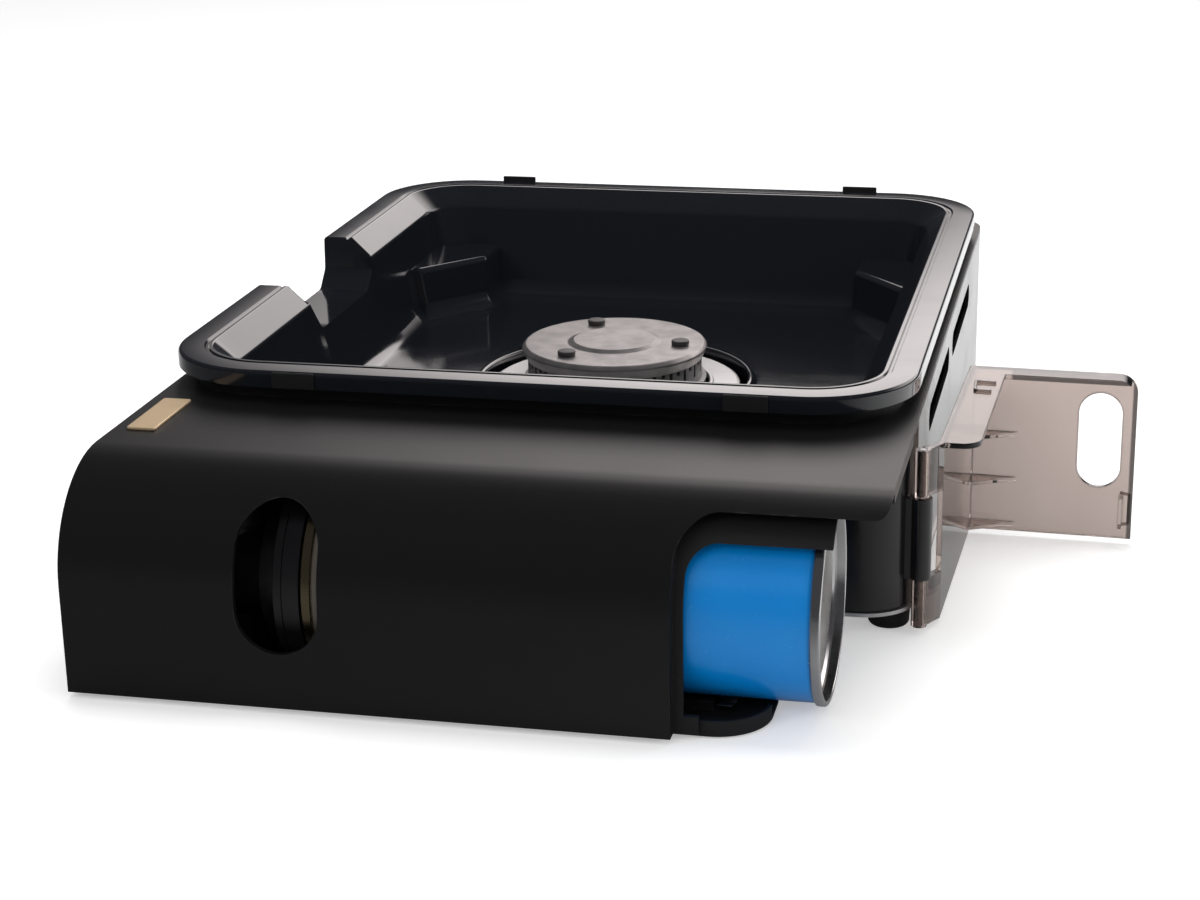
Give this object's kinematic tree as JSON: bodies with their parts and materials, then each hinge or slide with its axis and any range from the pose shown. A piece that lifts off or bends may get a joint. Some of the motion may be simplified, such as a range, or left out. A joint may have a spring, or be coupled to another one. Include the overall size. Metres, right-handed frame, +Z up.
{
  "type": "butane cassette stove",
  "caption": "Low black table-top gas stove: cartridge bay under a curved front, see-through hinged door, deep lift-out drip bowl round a slotted burner, and a side notch.",
  "frame": {"origin": "under the middle of the whole stove as it stands with its door open, at the bottom of the feet", "axes": "+X to the right along the gas cartridge, +Y from the front panel towards the back, +Z up from the table"},
  "size_m": [0.3516, 0.411, 0.09],
  "materials": {
    "housing_black": "satin black baked paint",
    "moulding_black": "fine-grained black moulding",
    "gloss_black": "glossy black enamel",
    "bowl_black": "glossy black enamel with a cool sheen",
    "pan_dark": "satin dark grey paint",
    "foot_rubber": "matt black rubber",
    "bright_steel": "plain bright steel",
    "badge_gold": "satin gold, left bare",
    "cap_dark": "dark grey matt",
    "burner_silver": "cast, slightly rough",
    "plate_silver": "bright pressed sheet",
    "jet_brass": "turned brass",
    "valve_cast": "die-cast, satin",
    "drum_steel": "pressed steel",
    "magnet_grey": "plated, dull",
    "knob_black": "satin black moulding",
    "dial_silver": "brushed, with no marks",
    "cam_white": "off-white nylon",
    "igniter_grey": "dark grey moulding",
    "can_silver": "bright tinplate",
    "can_blue": "glossy light blue print, with no text or picture",
    "can_gold": "golden lacquered tinplate",
    "door_smoke": "smoke-grey see-through moulding",
    "ceramic_white": "glazed white ceramic",
    "lead_rubber": "black silicone sleeve"
  },
  "bodies": {
    "stove": {"top_housing": "housing_black", "opening_surround": "moulding_black", "left_end_cover": "moulding_black", "burner_box": "gloss_black", "base_pan": "pan_dark", "feet": "foot_rubber", "base_screws": "bright_steel", "badge_plate": "badge_gold", "burner_cap": "cap_dark", "burner_studs": "bright_steel", "burner_crown": "burner_silver", "burner_body": "burner_silver", "mixing_tube": "bright_steel", "ring_plate": "plate_silver", "plate_stays": "bright_steel", "gas_pipe": "bright_steel", "jet_nozzle": "jet_brass", "heat_shield": "plate_silver", "valve_body": "valve_cast", "valve_saddle": "moulding_black", "regulator_drum": "drum_steel", "cartridge_seat": "bright_steel", "magnet_ring": "magnet_grey", "dial_ring": "dial_silver", "piezo_igniter": "igniter_grey", "compartment_tray": "moulding_black", "tray_leaf": "bright_steel", "hinge_bracket": "gloss_black", "hinge_pin": "bright_steel", "electrode_ceramic": "ceramic_white", "electrode_wire": "bright_steel", "ignition_lead": "lead_rubber"},
    "cartridge_door": {"cartridge_door": "door_smoke"},
    "gas_cartridge": {"cartridge_base": "can_silver", "cartridge_can": "can_blue", "cartridge_dome": "can_gold"},
    "cartridge_valve": {"valve_stem": "cam_white"},
    "bowl": {"drip_bowl": "bowl_black", "rim_lugs": "gloss_black"},
    "knob": {"control_knob": "knob_black", "knob_shaft": "bright_steel", "igniter_cam": "cam_white"},
    "plunger": {"igniter_plunger": "cam_white"}
  },
  "joints": [
    {"name": "door_hinge", "type": "hinge", "parent": "stove", "child": "cartridge_door", "pos_m": [0.10556, -0.0995, 0.035], "axis": [0, 0, 1], "range_deg": [-178, 2]},
    {"name": "knob_turn", "type": "hinge", "parent": "stove", "child": "knob", "pos_m": [-0.16444, -0.1645, 0.036], "axis": [-1, 0, 0], "range_deg": [0, 105]},
    {"name": "cartridge_slide", "type": "slide", "parent": "stove", "child": "gas_cartridge", "axis": [1, 0, 0], "range_m": [0, 0.2]},
    {"name": "bowl_lift", "type": "slide", "parent": "stove", "child": "bowl", "axis": [0, 0, 1], "range_m": [0, 0.06]},
    {"name": "valve_press", "type": "slide", "parent": "gas_cartridge", "child": "cartridge_valve", "axis": [1, 0, 0], "range_m": [0, 0.002], "stiffness_N_per_m": 1000},
    {"name": "igniter_press", "type": "slide", "parent": "stove", "child": "plunger", "axis": [0, 0, -1], "range_m": [0, 0.004]}
  ],
  "couplings": [
    {"joint": "igniter_press", "follows": "knob_turn", "m_per_rad": 0.0021827}
  ]
}
